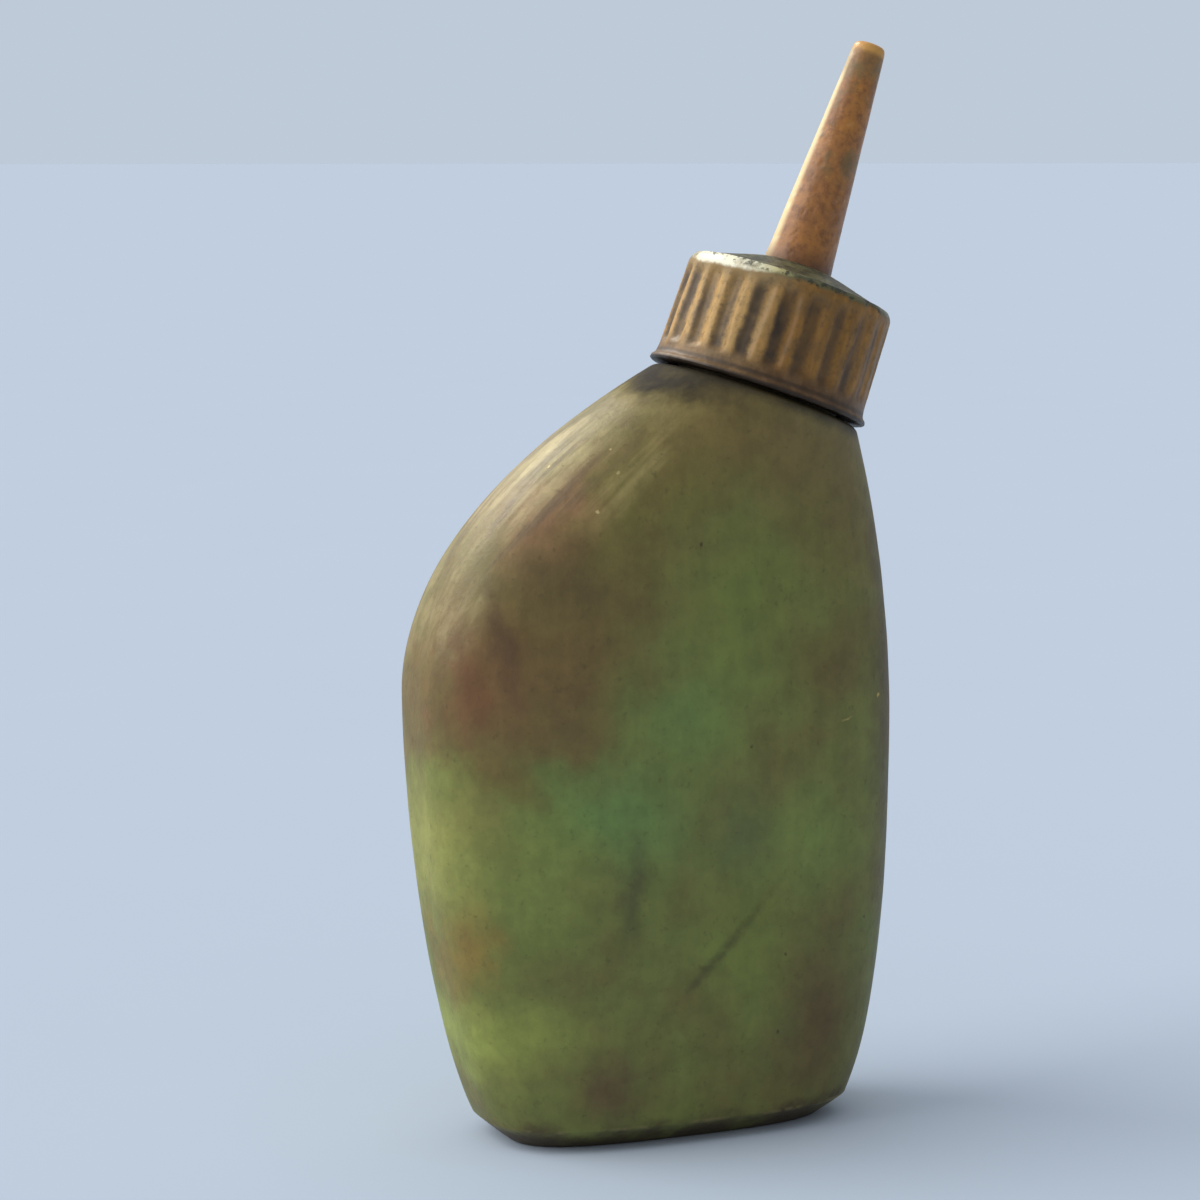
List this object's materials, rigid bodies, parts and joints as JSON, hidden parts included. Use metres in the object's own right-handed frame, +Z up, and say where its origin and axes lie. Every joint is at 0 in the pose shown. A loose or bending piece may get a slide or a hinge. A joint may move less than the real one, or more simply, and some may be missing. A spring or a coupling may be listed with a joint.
{
  "type": "oil bottle",
  "caption": "Flattened glass hand oiler bottle with a leaning screw neck, a ribbed flared-rim screw cap and a long tapered drip spout.",
  "frame": {"origin": "middle of the flat base, on the surface the bottle stands on", "axes": "+Z up, +X the way the neck leans, -Y out of a broad face"},
  "size_m": [0.0669, 0.0322, 0.1437],
  "materials": {
    "bottle_glass": "satin, mottled olive green, opaque from paint and old oil",
    "cap_moulding": "worn phenolic, ochre ribs with dark grooves",
    "spout_moulding": "aged orange-brown, satin, finely pitted",
    "washer_rubber": "matt"
  },
  "bodies": {
    "bottle": {"bottle_body": "bottle_glass"},
    "spout": {"spout": "spout_moulding", "sealing_washer": "washer_rubber"},
    "cap": {"screw_cap": "cap_moulding"}
  },
  "joints": [
    {"name": "spout_lift", "type": "slide", "parent": "bottle", "child": "spout", "axis": [0.3387, 0, 0.9409], "range_m": [0, 0.0159]},
    {"name": "cap_turn", "type": "hinge", "parent": "spout", "child": "cap", "pos_m": [0.0139, 0, 0.0974], "axis": [0.3387, 0, 0.9409], "range_deg": [0, 1800]}
  ],
  "couplings": [
    {"joint": "spout_lift", "follows": "cap_turn", "m_per_rad": 0.00050532}
  ]
}
